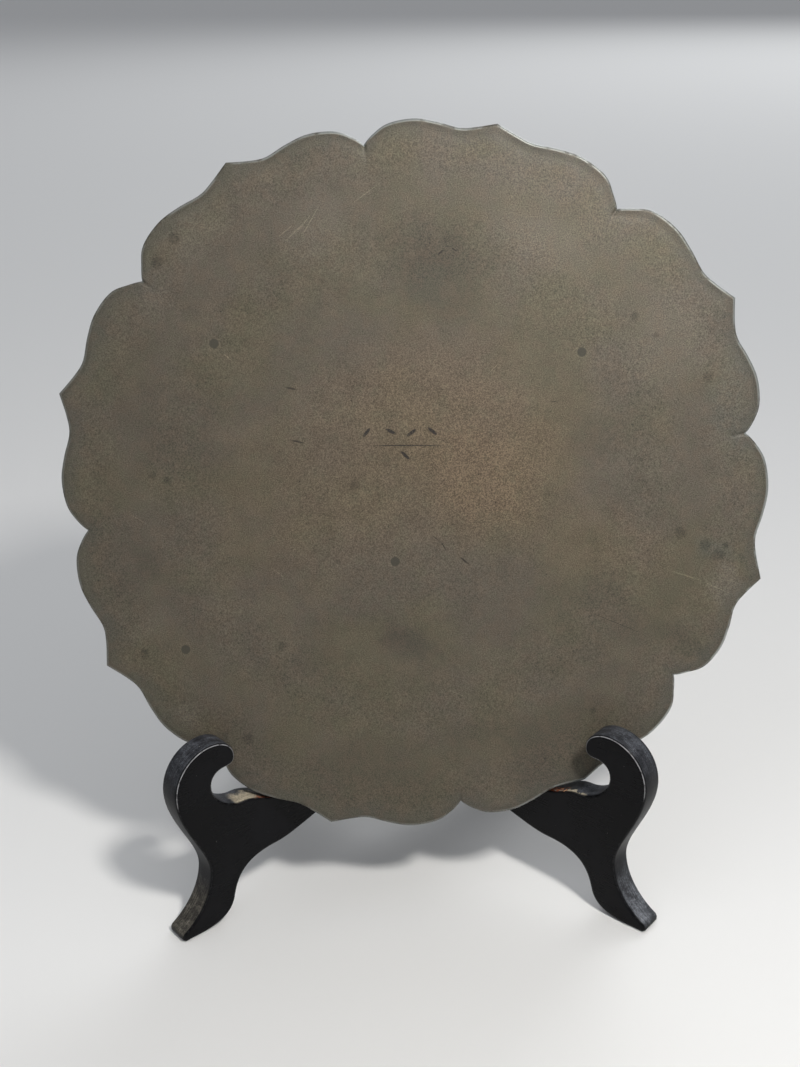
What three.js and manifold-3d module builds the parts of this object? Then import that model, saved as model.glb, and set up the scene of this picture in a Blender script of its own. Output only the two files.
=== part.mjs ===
// An eight-lobed bronze mirror leaning in a stand of two halved, black-lacquered boards.
// Millimetres, +Z up. +X is to the viewer's right and the mirror's plain face looks towards -Y.

import * as THREE from "three";
import { mergeVertices } from "three/addons/utils/BufferGeometryUtils.js";
import Module from "manifold-3d";

const wasm = await Module();
wasm.setup();

const { degToRad } = THREE.MathUtils;

// ---------------------------------------------------------------- driving dimensions

const gap = 0.3; // clearance between pieces that touch

// the mirror's lobed outline: radii of its cusps, shoulders, saddles and ogee tips
const lobes = 8;
const cuspRadius = 111.5;
const proudHalf = { shoulder: 119.4, saddle: 117.2 }; // beside every second cusp
const lowHalf = { shoulder: 118.6, saddle: 116.6 }; // beside the others
const outlineSteps = 12; // segments from a cusp to a tip
// the tips were filed by eye: each one's radius, and how many degrees it strays from mid-lobe
const tips = [
  [121.5, -1], [120, 1], [121, -0.5], [122, 0], [122, 0], [120.5, 0.5], [119, -1], [122, -1.5],
];
// the casting is a little out of round: waves round the outline, their height and first crest
const outOfRound = [
  { waves: 2, height: 0.4, crest: degToRad(45) },
  { waves: 3, height: 0.5, crest: degToRad(5) },
];

// the casting's section
const crown = 0.9; // the face stands this proud at its centre
const plate = 3.5; // thickness inside the rim
const rim = 6.0; // thickness at the rim
const ridge = 1.2; // height of the inner lobed ridge on the back

// the pierced knob on the back
const knobSeat = { radius: 15, height: 1.0 };
const knob = { radius: 12.6, height: 14.4 }; // height measured from the face's edge plane
const cordHole = { across: 8, deep: 7 };

// how the mirror sits in the stand
const lean = degToRad(16.4);
const turn = degToRad(7.1); // first cusp, counter-clockwise from +X
const mirrorCentre = new THREE.Vector3(3.4, 52.2, 147.0); // middle of the face's edge plane

// the stand
const boardThickness = 8.9;
const softEdge = 0.6; // chamfer along every sawn edge
const spread = degToRad(50); // each board's run, measured from the front-to-back line
const toeHalfWidth = 78.7; // from the middle to a toe's inner corner
const boardLength = 192;
const halvingHeight = 46.2; // where the two boards meet at their crossing
const curveSteps = 8;

// ---------------------------------------------------------------- finishes

const patinatedBronze = new THREE.MeshStandardMaterial({
  name: "patinated_bronze", color: 0x716a58, roughness: 0.52, metalness: 0.75,
});
const blackLacquer = new THREE.MeshStandardMaterial({
  name: "black_lacquer", color: 0x101012, roughness: 0.38, metalness: 0.0,
});

// ---------------------------------------------------------------- cutting and joining

function toSolid(geometry) {
  const bare = geometry.clone();
  bare.deleteAttribute("normal");
  bare.deleteAttribute("uv");
  const merged = mergeVertices(bare, 1e-4);
  return new wasm.Manifold(new wasm.Mesh({
    numProp: 3,
    vertProperties: new Float32Array(merged.attributes.position.array),
    triVerts: new Uint32Array(merged.index.array),
  }));
}

function toGeometry(solid) {
  const mesh = solid.getMesh();
  const geometry = new THREE.BufferGeometry();
  geometry.setAttribute("position", new THREE.BufferAttribute(mesh.vertProperties, mesh.numProp));
  geometry.setIndex(new THREE.BufferAttribute(mesh.triVerts, 1));
  geometry.computeVertexNormals();
  return geometry;
}

// ---------------------------------------------------------------- the mirror

// Half a lobe from its cusp to its tip: x is the angle from the cusp, y the radius.
function halfLobe({ shoulder, saddle }, tip, degrees) {
  const spots = [
    [0, cuspRadius],
    [0.08, cuspRadius + 2.9],
    [0.2, shoulder - 1.3],
    [0.39, shoulder],
    [0.56, shoulder - 0.4 * (shoulder - saddle)],
    [0.73, saddle],
    [0.86, saddle + 0.33 * (tip - saddle)],
    [1, tip],
  ];
  const points = spots.map(([share, radius]) => new THREE.Vector2(share * degToRad(degrees), radius));
  return new THREE.SplineCurve(points).getPoints(outlineSteps);
}

// The whole outline, counter-clockwise from the first cusp, as angles in radians and radii.
function lobedOutline() {
  const outline = [];
  const lobeAngle = 360 / lobes;
  for (let lobe = 0; lobe < lobes; lobe++) {
    const start = degToRad(lobe * lobeAngle);
    const end = degToRad((lobe + 1) * lobeAngle);
    const [before, after] = lobe % 2 ? [proudHalf, lowHalf] : [lowHalf, proudHalf];
    const [tip, stray] = tips[lobe];
    const rising = halfLobe(before, tip, lobeAngle / 2 + stray).slice(0, -1);
    const falling = halfLobe(after, tip, lobeAngle / 2 - stray).slice(1).reverse();
    rising.forEach((p) => outline.push({ angle: start + p.x, radius: p.y }));
    falling.forEach((p) => outline.push({ angle: end - p.x, radius: p.y }));
  }
  for (const point of outline) {
    for (const { waves, height, crest } of outOfRound) {
      point.radius += height * Math.cos(waves * (point.angle - crest));
    }
  }
  return outline;
}

// Section of the casting as rings: [share of the outline, depth behind the face's edge plane].
function castingSection() {
  const bulge = (share) => -crown * (1 - share * share);
  return [
    [0.6, bulge(0.6)],
    [0.92, bulge(0.92)],
    [0.989, 0.05],
    [0.9965, 0.4],
    [1.0, 1.3],
    [1.0, rim - 0.8],
    [0.99, rim],
    [0.94, rim],
    [0.925, plate + 0.1],
    [0.64, plate],
    [0.632, plate + ridge],
    [0.612, plate + ridge],
    [0.604, plate],
  ];
}

// A closed body of lobed rings, from the middle of the face round the rim to the middle of the back.
function lobedCasting() {
  const outline = lobedOutline();
  const rings = castingSection();
  const count = outline.length;
  const positions = [0, -crown, 0];
  const triangles = [];
  for (const [share, depth] of rings) {
    for (const { angle, radius } of outline) {
      positions.push(share * radius * Math.cos(angle), depth, share * radius * Math.sin(angle));
    }
  }
  positions.push(0, plate, 0);
  const backMiddle = 1 + rings.length * count;
  const at = (ring, i) => 1 + ring * count + (i % count);
  for (let i = 0; i < count; i++) {
    triangles.push(0, at(0, i), at(0, i + 1));
    for (let ring = 0; ring < rings.length - 1; ring++) {
      triangles.push(at(ring, i), at(ring + 1, i), at(ring + 1, i + 1));
      triangles.push(at(ring, i), at(ring + 1, i + 1), at(ring, i + 1));
    }
    triangles.push(at(rings.length - 1, i), backMiddle, at(rings.length - 1, i + 1));
  }
  const geometry = new THREE.BufferGeometry();
  geometry.setAttribute("position", new THREE.Float32BufferAttribute(positions, 3));
  geometry.setIndex(triangles);
  return geometry;
}

// The domed knob on its round seat, turned about the depth direction.
function knobBody() {
  const seatTop = plate + knobSeat.height;
  const profile = new THREE.Path();
  profile.moveTo(0, plate - 1);
  profile.lineTo(knobSeat.radius, plate - 1);
  profile.lineTo(knobSeat.radius - 0.8, seatTop);
  profile.lineTo(knob.radius, seatTop);
  profile.bezierCurveTo(knob.radius, seatTop + 6, knob.radius * 0.6, knob.height, 0, knob.height);
  return new THREE.LatheGeometry(profile.getPoints(curveSteps), 32);
}

// The hole through the knob for the cord, running across the mirror.
function cordHoleCutter() {
  const hole = new THREE.CylinderGeometry(1, 1, 2 * knobSeat.radius + 4, 24);
  hole.rotateZ(Math.PI / 2);
  hole.scale(1, cordHole.deep / 2, cordHole.across / 2);
  hole.translate(0, plate + knobSeat.height + cordHole.deep / 2, 0);
  return hole;
}

function bronzeMirror() {
  const casting = lobedCasting().rotateY(-turn);
  const body = toSolid(casting).add(toSolid(knobBody())).subtract(toSolid(cordHoleCutter()));
  const mirror = new THREE.Mesh(toGeometry(body), patinatedBronze);
  mirror.name = "bronze_mirror";
  mirror.position.copy(mirrorCentre);
  mirror.rotation.x = -lean;
  return mirror;
}

// ---------------------------------------------------------------- the stand

// The board's outline: x runs along the board from its front toe, y is the height.
function boardOutline() {
  const outline = new THREE.Shape();
  outline.moveTo(0, 0);
  outline.lineTo(0, 3); // front of the toe
  outline.bezierCurveTo(6, 6, 12.4, 13, 13.2, 22.5); // instep, up to the ankle
  outline.bezierCurveTo(13.8, 31, 2.6, 43.5, 2.6, 56); // shin, swelling forwards
  outline.bezierCurveTo(2.6, 65, 9.5, 71.6, 17.3, 71.6); // brow of the hook
  outline.bezierCurveTo(22, 71.6, 26.3, 69, 26.3, 64.5); // its rounded end
  outline.bezierCurveTo(26.3, 62.2, 25, 61.2, 22.6, 61.2);
  outline.bezierCurveTo(19, 61.2, 16.6, 59.5, 16.6, 55.5); // throat
  outline.bezierCurveTo(16.6, 50.5, 22, 45.2, 28, 45.2);
  outline.bezierCurveTo(33, 45.4, 37, 41.45, 42.9, 41.45); // seat, sinking under the mirror's edge
  outline.lineTo(48.4, 54); // stop behind the mirror's rim
  outline.absarc(81.9, 116, 8.4, degToRad(158.5), degToRad(-12), true); // leaning upright's head
  outline.bezierCurveTo(86.5, 95, 80, 82, 92, 68); // back of the upright
  outline.bezierCurveTo(100, 58.5, 116, 60, 130, 57); // rear arm
  outline.bezierCurveTo(156, 52, 178.2, 40, 178.8, 22.5); // hip, down to the rear ankle
  outline.bezierCurveTo(179.6, 13, 186, 6, boardLength, 3);
  outline.lineTo(boardLength, 0); // rear toe
  outline.lineTo(183, 0);
  outline.bezierCurveTo(177, 0.6, 171.8, 2.2, 170.2, 8); // rear heel
  outline.bezierCurveTo(168.6, 14, 166.5, 21.5, 152, 21.8);
  outline.bezierCurveTo(140, 22, 126, 32, 96, 32); // crown of the bracketed arch
  outline.bezierCurveTo(66, 32, 52, 22, 40, 21.8);
  outline.bezierCurveTo(25.5, 21.5, 23.4, 14, 21.8, 8); // front heel
  outline.bezierCurveTo(20.2, 2.2, 15, 0.6, 9, 0);
  return outline;
}

// One sawn board with chamfered edges; z runs through its thickness, from the toe's inner face.
function boardBlank(side) {
  const blank = new THREE.ExtrudeGeometry(boardOutline(), {
    depth: boardThickness - 2 * softEdge,
    curveSegments: curveSteps,
    bevelThickness: softEdge,
    bevelSize: softEdge,
    bevelOffset: -softEdge,
    bevelSegments: 1,
  });
  blank.translate(0, 0, side > 0 ? softEdge : softEdge - boardThickness);
  return blank;
}

// The slot that lets the other board through, open at the top (left) or at the bottom (right).
function slotCutter(side) {
  const middleDepth = side * boardThickness / 2;
  const along = (toeHalfWidth + Math.cos(spread) * boardThickness / 2) / Math.sin(spread);
  const tall = 60;
  const slot = new THREE.BoxGeometry(boardThickness + 2 * gap, tall, 4 * boardThickness);
  slot.rotateY(side * (Math.PI / 2 - 2 * spread));
  slot.translate(along, halvingHeight - side * (tall / 2 - gap / 2), middleDepth);
  return slot;
}

// side is -1 for the left board and +1 for the right one.
function standBoard(name, side) {
  const halved = toSolid(boardBlank(side)).subtract(toSolid(slotCutter(side)));
  const board = new THREE.Mesh(toGeometry(halved), blackLacquer);
  board.name = name;
  // x turns to the board's run, y to the vertical and z to its thickness
  const run = new THREE.Vector3(-side * Math.sin(spread), Math.cos(spread), 0);
  const up = new THREE.Vector3(0, 0, 1);
  const through = new THREE.Vector3().crossVectors(run, up);
  board.setRotationFromMatrix(new THREE.Matrix4().makeBasis(run, up, through));
  board.position.set(side * toeHalfWidth, 0, 0);
  return board;
}

// ---------------------------------------------------------------- the whole

// Mirror and stand together, the origin under the middle of their box.
function mirrorOnStand() {
  const whole = new THREE.Group();
  whole.add(bronzeMirror(), standBoard("stand_board_left", -1), standBoard("stand_board_right", 1));
  const box = new THREE.Box3().setFromObject(whole, true);
  const middle = box.getCenter(new THREE.Vector3());
  whole.position.set(-middle.x, -middle.y, -box.min.z);
  return whole;
}

export default mirrorOnStand();
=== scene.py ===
# %% [markdown]
# # A bronze mirror on its lacquered stand
#
# The object is a cast mirror of patinated bronze with eight bracket-shaped lobes. Its plain face looks at us
# and its back carries a raised rim, one low ridge and a pierced knob for a cord. It leans in the hooks of a
# small stand: two black-lacquered boards that cross behind it and are halved into each other.
#
# This notebook dresses the measured solids. It loads them as a fixed frame, makes one finer piece for each
# solid, gives each a finish worked out by shader nodes, and sets up the light and the camera.

# %% Load the measured frame
import math

import bmesh
import bpy
from mathutils import Matrix, Vector, noise


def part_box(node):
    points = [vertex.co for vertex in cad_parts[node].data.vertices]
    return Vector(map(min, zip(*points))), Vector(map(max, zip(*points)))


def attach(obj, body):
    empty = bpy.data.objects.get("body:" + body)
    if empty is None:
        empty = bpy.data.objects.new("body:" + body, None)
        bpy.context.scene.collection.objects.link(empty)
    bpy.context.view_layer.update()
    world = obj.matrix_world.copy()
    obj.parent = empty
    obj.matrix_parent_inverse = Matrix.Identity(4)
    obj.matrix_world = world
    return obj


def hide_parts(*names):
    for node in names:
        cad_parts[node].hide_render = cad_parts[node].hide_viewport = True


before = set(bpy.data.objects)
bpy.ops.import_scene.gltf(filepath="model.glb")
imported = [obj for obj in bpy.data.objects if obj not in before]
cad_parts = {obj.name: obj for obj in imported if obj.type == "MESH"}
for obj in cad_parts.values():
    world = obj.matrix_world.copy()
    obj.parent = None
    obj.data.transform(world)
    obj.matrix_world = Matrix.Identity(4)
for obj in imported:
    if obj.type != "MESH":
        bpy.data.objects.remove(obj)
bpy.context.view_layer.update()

print("measured solids:", sorted(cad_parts))

# %% [markdown]
# ## Where the drawing's own origin lies
#
# The object was drawn from a point on the ground between the two toes of the stand. The frame's origin is
# the middle of the whole box instead. The boards' boxes give the way from one to the other, so nothing has
# to be fitted by eye. All sizes below are in millimetres and become metres at the end of each piece.

# %% Find the drawing's origin
MM = 0.001
SPREAD = math.radians(50)  # between each board and the line of sight
BOARD = 8.9  # thickness of a board
ARRIS = 0.6  # the softened edge of the measured boards

left_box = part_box("stand_board_left")
right_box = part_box("stand_board_right")
ORIGIN = Vector((
    (left_box[0].x + right_box[1].x) / 2,
    left_box[0].y - ARRIS * math.cos(SPREAD) * MM,
    0.0,
))
print("drawing's origin in the frame, mm:", [round(c / MM, 2) for c in ORIGIN])


def placed(point):
    """A point of the drawing, in millimetres, as a point of the frame in metres."""
    return ORIGIN + Vector(point) * MM


def report(piece, node):
    """Prints how far a finished piece's box departs from the solid that it stands for."""
    low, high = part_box(node)
    points = [v.co for v in piece.data.vertices]
    lower = [min(p[i] for p in points) - low[i] for i in range(3)]
    upper = [max(p[i] for p in points) - high[i] for i in range(3)]
    piece.data.calc_loop_triangles()
    print(piece.name, "triangles:", len(piece.data.loop_triangles),
          "low corner off by", [round(c / MM, 2) for c in lower],
          "high corner off by", [round(c / MM, 2) for c in upper], "mm")


# %% [markdown]
# ## The mirror's outline
#
# Each lobe of a bracket-foil mirror runs from a cusp over a full shoulder, dips into a shallow saddle and
# lifts to a small point in its middle. The outline is hand-finished, so the points stray a little from the
# middle of their lobes and the casting isn't quite round. One half-lobe is a smooth curve through eight
# points that are given as a share of the way round and a radius. Sixteen of them, alternately turned
# over, close the outline. A circle with a wave on it would be quicker, but its points would be blunt.

# %% A smooth curve through points
def smooth_through(points, share):
    """A point on the uniform Catmull-Rom curve through the points."""
    reach = share * (len(points) - 1)
    i = min(int(reach), len(points) - 2)
    t = reach - i
    a, b = points[max(i - 1, 0)], points[i]
    c, d = points[i + 1], points[min(i + 2, len(points) - 1)]
    mixed = []
    for p, q, r, s in zip(a, b, c, d):
        mixed.append(q + 0.5 * t * (r - p + t * (2 * p - 5 * q + 4 * r - s + t * (3 * (q - r) + s - p))))
    return mixed


# %% Lay out the eight lobes
CUSP = 111.5
PROUD = (119.4, 117.2)  # shoulder and saddle beside every second cusp
LOW = (118.6, 116.6)  # the same beside the others
TIPS = ((121.5, -1), (120, 1), (121, -0.5), (122, 0), (122, 0), (120.5, 0.5), (119, -1), (122, -1.5))
OUT_OF_ROUND = ((2, 0.4, 45), (3, 0.5, 5))  # waves, height, where the crest is in degrees
STEPS = 42  # in one half-lobe
CROWDING = 1.45  # above 1 the points crowd towards the cusp


def half_lobe(build, tip, share):
    """Share of the half-lobe's angle and the radius there, from the cusp at 0 to the point at 1."""
    shoulder, saddle = build
    knots = (
        (0, CUSP), (0.08, CUSP + 2.9), (0.2, shoulder - 1.3), (0.39, shoulder),
        (0.56, shoulder - 0.4 * (shoulder - saddle)), (0.73, saddle),
        (0.86, saddle + 0.33 * (tip - saddle)), (1, tip),
    )
    return smooth_through(knots, share)


def lobed_outline():
    """The outline as angles in degrees and radii, anticlockwise as seen from the front."""
    ring = []
    for lobe, (tip, stray) in enumerate(TIPS):
        before, after = (PROUD, LOW) if lobe % 2 else (LOW, PROUD)
        start, middle, end = lobe * 45, lobe * 45 + 22.5 + stray, lobe * 45 + 45
        for step in range(STEPS):
            share, radius = half_lobe(before, tip, (step / STEPS) ** CROWDING)
            ring.append((start + share * (middle - start), radius))
        for step in range(STEPS):
            share, radius = half_lobe(after, tip, (1 - step / STEPS) ** CROWDING)
            ring.append((end - share * (end - middle), radius))
    trued = []
    for angle, radius in ring:
        for waves, height, crest in OUT_OF_ROUND:
            radius += height * math.cos(math.radians(waves * (angle - crest)))
        trued.append((math.radians(angle), radius))
    return trued


outline = lobed_outline()
print("points round the mirror:", len(outline),
      "radii from", round(min(r for a, r in outline), 1), "to", round(max(r for a, r in outline), 1))

# %% [markdown]
# ## The mirror's section
#
# Cut from its middle to its edge the casting is a thin plate with a raised rim behind. The face is very
# slightly domed. The section is a row of stations, each with a share of the radius, a depth behind the face
# and a distance drawn in from the edge. The last one lets the worn arris keep the same roundness all the
# way round, however far out the edge is. Depths grow towards the back.

# %% Draw the section
CROWN = 0.9  # how far the middle of the face stands proud of its edge
PLATE = 3.5
RIM = 6.0
RIDGE = 1.2
FACE_RINGS = 34
RIM_TOP = (  # share of the radius, height beside the rim's
    (0.983, -0.02), (0.972, 0), (0.958, -0.01), (0.946, -0.06), (0.9405, -0.16), (0.937, -0.5),
)
RIM_FOOT = ((0.9315, 1.05), (0.9275, 0.4), (0.924, 0.12), (0.917, 0.02))  # share, height above the plate
RIDGE_BACK = (
    (0.644, 0.04), (0.6395, 0.25), (0.6345, 0.95), (0.631, 1.14), (0.6265, RIDGE),
    (0.6175, RIDGE), (0.613, 1.14), (0.6095, 0.95), (0.6045, 0.25), (0.6, 0.04),
)
WEAR = 0.08  # what handling took off the edge
ROUNDED = (1.0, 1.24)  # how far in and how deep the worn arris of the face is rounded
FILED = (1.1, 0.8)  # the same for the rim's outer edge


def dome(share):
    """Depth of the domed face at a share of the radius."""
    return -CROWN * (1 - share * share)


section = [(0.0, dome(0.0), 0.0)]
for ring in range(1, FACE_RINGS + 1):
    share = 0.965 * (ring / FACE_RINGS) ** 0.9
    section.append((share, dome(share), 0.0))
for drawn_in in (3.6, 3.1, 2.7, 2.3, 1.95, 1.6, 1.3):
    section.append((1.0, dome(1.0) + 0.012 * (3.6 - drawn_in), drawn_in))
for step in range(7):  # the worn arris, a quarter of a flattened round
    turn = math.radians(90 * step / 6)
    drawn_in = WEAR + ROUNDED[0] * (1 - math.sin(turn))
    section.append((1.0, 0.06 + ROUNDED[1] * (1 - math.cos(turn)), drawn_in))
for depth in (2.2, 3.2, 4.2):
    section.append((1.0, depth, WEAR))
for step in range(5):  # the rim's outer edge, broken with a file
    turn = math.radians(90 * step / 4)
    drawn_in = WEAR + FILED[0] * (1 - math.cos(turn))
    section.append((1.0, RIM - 0.85 + FILED[1] * math.sin(turn), drawn_in))
section += [(share, RIM + above, 0.0) for share, above in RIM_TOP]
section += [(share, PLATE + above, 0.0) for share, above in RIM_FOOT]
for step in range(1, 10):  # the field between the rim and the ridge
    section.append((0.917 - 0.267 * step / 9, PLATE, 0.0))
section += [(share, PLATE + above, 0.0) for share, above in RIDGE_BACK]
for step in range(12):  # the field inside the ridge
    section.append((0.592 * (1 - step / 12), PLATE, 0.0))
section.append((0.0, PLATE, 0.0))
print("stations from the middle of the face round to the middle of the back:", len(section))

# %% [markdown]
# ## Casting the mirror with Geometry Nodes
#
# A rule makes this piece: carry the section round the outline. So a node tree does it. It lays out a grid
# with one column for each point of the outline and one row for each station, looks both up by their number
# and moves every corner of the grid to where the two meet. Merging what falls together closes the seam and
# the two poles. At each cusp the old smith's file has run a little way into the face, and the same
# tree sinks those eight grooves. Its inputs have names, so another mirror is a matter of other numbers.


# %% A helper that builds node trees
class Bench:
    """Adds nodes to one tree."""

    def __init__(self, tree):
        self.tree = tree

    def add(self, kind, settings=None, inputs=None, out=0):
        """One node of a type: its settings first, then the values or links of its sockets."""
        node = self.tree.nodes.new(kind)
        for name, value in (settings or {}).items():
            setattr(node, name, value)
        for name, value in (inputs or {}).items():
            self.plug(node.inputs[name], value)
        return Val(self, node.outputs[out])

    def plug(self, socket, value):
        """Links a value to a socket, or writes a number or a vector on it."""
        if isinstance(value, Val):
            self.tree.links.new(value.socket, socket)
        else:
            socket.default_value = value

    def maths(self, operation, *values, clamp=False):
        """A Math node; clamp keeps its result from 0 to 1."""
        settings = {"operation": operation, "use_clamp": clamp}
        return self.add("ShaderNodeMath", settings, dict(enumerate(values)))

    def vector(self, operation, *values, out=0):
        """A Vector Math node."""
        return self.add("ShaderNodeVectorMath", {"operation": operation}, dict(enumerate(values)), out)

    def part(self, vector, axis):
        """One coordinate of a vector."""
        return self.add("ShaderNodeSeparateXYZ", None, {0: vector}, axis)

    def times(self, vector, factor):
        """A vector or a colour times a number."""
        return self.add("ShaderNodeVectorMath", {"operation": "SCALE"}, {0: vector, "Scale": factor})


# %% A value that adds its own Math nodes
class Val:
    """One socket's value. Python's signs add the Math nodes."""

    def __init__(self, bench, socket):
        self.bench = bench
        self.socket = socket

    def __add__(self, other):
        return self.bench.maths("ADD", self, other)

    def __radd__(self, other):
        return self.bench.maths("ADD", other, self)

    def __sub__(self, other):
        return self.bench.maths("SUBTRACT", self, other)

    def __rsub__(self, other):
        return self.bench.maths("SUBTRACT", other, self)

    def __mul__(self, other):
        return self.bench.maths("MULTIPLY", self, other)

    def __rmul__(self, other):
        return self.bench.maths("MULTIPLY", other, self)

    def __truediv__(self, other):
        return self.bench.maths("DIVIDE", self, other)

    def __rtruediv__(self, other):
        return self.bench.maths("DIVIDE", other, self)

    def __pow__(self, other):
        return self.bench.maths("POWER", self, other)


# %% Loose points that carry the two tables into the tree
def link(name, data):
    """An object for a mesh, a lamp or a camera, in the scene."""
    made = bpy.data.objects.new(name, data)
    bpy.context.scene.collection.objects.link(made)
    return made


def points_object(name, points):
    """An object of loose points."""
    mesh = bpy.data.meshes.new(name)
    mesh.from_pydata(points, [], [])
    return link(name, mesh)


plan = points_object("mirror_plan", [(r * math.cos(a), 0.0, r * math.sin(a)) for a, r in outline])
stations = points_object("mirror_section", section)

# %% The tree that carries the section round the plan
casting_tree = bpy.data.node_groups.new("section_round_plan", "GeometryNodeTree")
SIZES = {"Groove depth": 0.55, "Groove half width": 0.75, "Groove length": 3.4, "Cusp radius": CUSP}
ASKED = {"Plan": "Geometry", "Section": "Object", "Finish": "Material", **dict.fromkeys(SIZES, "Float")}
panel = casting_tree.interface
for name, kind in ASKED.items():
    panel.new_socket(name, in_out="INPUT", socket_type="NodeSocket" + kind)
panel.new_socket("Casting", in_out="OUTPUT", socket_type="NodeSocketGeometry")

bench = Bench(casting_tree)
given = casting_tree.nodes.new("NodeGroupInput")
asked = {socket.name: Val(bench, socket) for socket in given.outputs if socket.name}
table = bench.add("GeometryNodeObjectInfo", None, {"Object": asked["Section"]}, "Geometry")
columns = bench.add("GeometryNodeAttributeDomainSize", None, {"Geometry": asked["Plan"]}, "Point Count")
rows = bench.add("GeometryNodeAttributeDomainSize", None, {"Geometry": table}, "Point Count")
grid = bench.add("GeometryNodeMeshGrid", None, {"Vertices X": columns + 1.0, "Vertices Y": rows})
number = bench.add("GeometryNodeInputIndex")
column = bench.maths("FLOOR", (number + 0.5) / rows)
row = bench.maths("FLOOR", number - column * rows + 0.5)
position = bench.add("GeometryNodeInputPosition")
LOOK_UP = {"data_type": "FLOAT_VECTOR", "domain": "POINT"}
on_plan = bench.add("GeometryNodeSampleIndex", LOOK_UP,
                    {"Geometry": asked["Plan"], "Value": position,
                     "Index": bench.maths("FLOORED_MODULO", column, columns)})
station = bench.add("GeometryNodeSampleIndex", LOOK_UP, {"Geometry": table, "Value": position, "Index": row})
share, depth, drawn_in = [bench.part(station, axis) for axis in "XYZ"]
radius = bench.vector("LENGTH", on_plan, out="Value")
reach = bench.maths("MAXIMUM", share * radius - drawn_in, 0.0)
print("tree lays out the grid; nodes so far:", len(casting_tree.nodes))

# %% The file's grooves at the cusps
HALF_LOBE = math.radians(22.5)
heading = bench.maths("ARCTAN2", bench.part(on_plan, "Z"), bench.part(on_plan, "X"))
aside = bench.maths("PINGPONG", heading + 2 * math.pi, HALF_LOBE) * reach
inward = asked["Cusp radius"] - reach
across = bench.maths("MAXIMUM", 1.0 - (aside / asked["Groove half width"]) ** 2.0, 0.0)
along = bench.maths("MULTIPLY_ADD", inward / asked["Groove length"], -1.0, 1.0, clamp=True)
in_front = bench.maths("LESS_THAN", depth, RIM / 2)
sunk = asked["Groove depth"] * across * along * in_front
moved = bench.add("ShaderNodeCombineXYZ", None, {"Y": depth + sunk})
spread_out = bench.times(bench.vector("NORMALIZE", on_plan), reach)
shaped = bench.add("GeometryNodeSetPosition", None,
                   {"Geometry": grid, "Position": bench.vector("ADD", spread_out, moved)})
marked = bench.add("GeometryNodeStoreNamedAttribute", {"data_type": "FLOAT", "domain": "POINT"},
                   {"Geometry": shaped, "Name": "share", "Value": reach / radius})
closed = bench.add("GeometryNodeMergeByDistance", None, {"Geometry": marked, "Distance": 0.002})
real = bench.add("GeometryNodeRealizeInstances", None, {"Geometry": closed})
finished = bench.add("GeometryNodeSetMaterial", None, {"Geometry": real, "Material": asked["Finish"]})
result = casting_tree.nodes.new("NodeGroupOutput")
casting_tree.links.new(finished.socket, result.inputs["Casting"])
print("nodes in the whole tree:", len(casting_tree.nodes))

# %% Materials the pieces start with
bronze = bpy.data.materials.new("bronze_face")
bronze_back = bpy.data.materials.new("bronze_back")
lacquer_left = bpy.data.materials.new("black_lacquer_left")
lacquer_right = bpy.data.materials.new("black_lacquer_right")

# %% Run the tree and keep its result as a plain mesh
cast = plan.modifiers.new("cast", "NODES")
cast.node_group = casting_tree
sockets = {item.name: item.identifier for item in panel.items_tree if item.in_out == "INPUT"}
cast[sockets["Section"]] = stations
cast[sockets["Finish"]] = bronze
for name, size in SIZES.items():
    cast[sockets[name]] = size
depsgraph = bpy.context.evaluated_depsgraph_get()
mirror_mesh = bpy.data.meshes.new_from_object(plan.evaluated_get(depsgraph))
bpy.data.objects.remove(plan)
bpy.data.objects.remove(stations)
print("casting:", len(mirror_mesh.vertices), "corners", len(mirror_mesh.polygons), "faces")

# %% [markdown]
# ## The knob
#
# A cord once ran through the knob so that the mirror could be held or hung. It is a low dome on a round
# seat. Turning a profile makes it, as a potter's wheel would. The cord's hole is cut with a boolean, and a
# voxel remesh turns the cut solid into an even skin whose edges can be rubbed soft, as the cord
# and the casting did. Bevelling the boolean's ragged edge would pinch.

# %% Two helpers: a bend and a turned solid
def bend(a, b, c, d, steps):
    """Points on a cubic curve, without its start."""
    points = []
    for step in range(1, steps + 1):
        t = step / steps
        s = 1 - t
        points.append(tuple(s ** 3 * p + 3 * s * s * t * q + 3 * s * t * t * r + t ** 3 * w
                            for p, q, r, w in zip(a, b, c, d)))
    return points


def turned(profile, sides):
    """A closed solid turned about the depth axis from (radius, depth) points; its ends lie on the axis."""
    shell = bmesh.new()
    rings = []
    for radius, depth in profile[1:-1]:
        ring = []
        for side in range(sides):
            angle = 2 * math.pi * side / sides
            ring.append(shell.verts.new((radius * math.cos(angle), depth, radius * math.sin(angle))))
        rings.append(ring)
    first = shell.verts.new((0, profile[0][1], 0))
    last = shell.verts.new((0, profile[-1][1], 0))
    for side in range(sides):
        after = (side + 1) % sides
        shell.faces.new((first, rings[0][side], rings[0][after]))
        shell.faces.new((last, rings[-1][after], rings[-1][side]))
        for inner, outer in zip(rings, rings[1:]):
            shell.faces.new((inner[side], outer[side], outer[after], inner[after]))
    bmesh.ops.recalc_face_normals(shell, faces=shell.faces)
    mesh = bpy.data.meshes.new("turned")
    shell.to_mesh(mesh)
    shell.free()
    return mesh


# %% Turn the knob and the drill for its hole
SEAT = (15.0, 1.0)  # radius and height of the round seat
KNOB = (12.6, 14.4)  # radius, and depth of the knob's top behind the face
HOLE = (4.0, 3.5, 8.0)  # half height, half depth, and depth of its middle

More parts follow.
